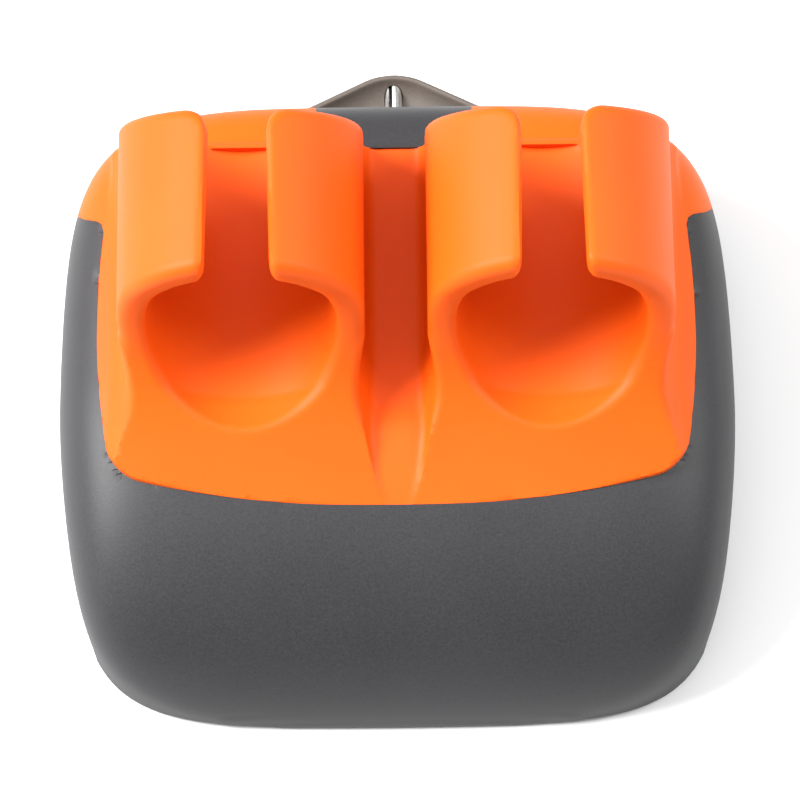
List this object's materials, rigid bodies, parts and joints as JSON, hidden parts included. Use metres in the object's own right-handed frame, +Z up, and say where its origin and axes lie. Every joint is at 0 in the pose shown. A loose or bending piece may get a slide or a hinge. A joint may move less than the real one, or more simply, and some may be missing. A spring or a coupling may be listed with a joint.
{
  "type": "palm peeler",
  "caption": "Domed palm peeler worn under the hand: soft grip with open finger loops on a rounded plastic body, pointed beak and a slotted swivel blade beneath.",
  "frame": {"origin": "under the middle of the bounding box, on the plane that the four corner feet stand on", "axes": "+Z up out of the dome towards the finger loops, +Y the way the fingers point (towards the beak), +X to the right"},
  "size_m": [0.0736, 0.0736, 0.0445],
  "materials": {
    "orange_rubber": "matte soft-touch overmould",
    "grey_plastic": "fine matte spark-eroded texture",
    "frame_plastic": "smooth satin",
    "blade_steel": "brushed lengthwise, ground edges",
    "pin_steel": "bright rolled stainless",
    "screw_steel": "nickel plated"
  },
  "bodies": {
    "housing": {"top_shell": "grey_plastic", "finger_grip": "orange_rubber", "blade_frame": "frame_plastic", "front_pivot_pin": "pin_steel", "rear_pivot_pin": "pin_steel", "frame_screw_front_left": "screw_steel", "frame_screw_front_right": "screw_steel", "frame_screw_rear_left": "screw_steel", "frame_screw_rear_right": "screw_steel"},
    "blade": {"swivel_blade": "blade_steel"}
  },
  "joints": [
    {"name": "blade_swivel", "type": "hinge", "parent": "housing", "child": "blade", "pos_m": [0, 0, 0.0082], "axis": [0, 1, 0], "range_deg": [-26, 26]}
  ]
}
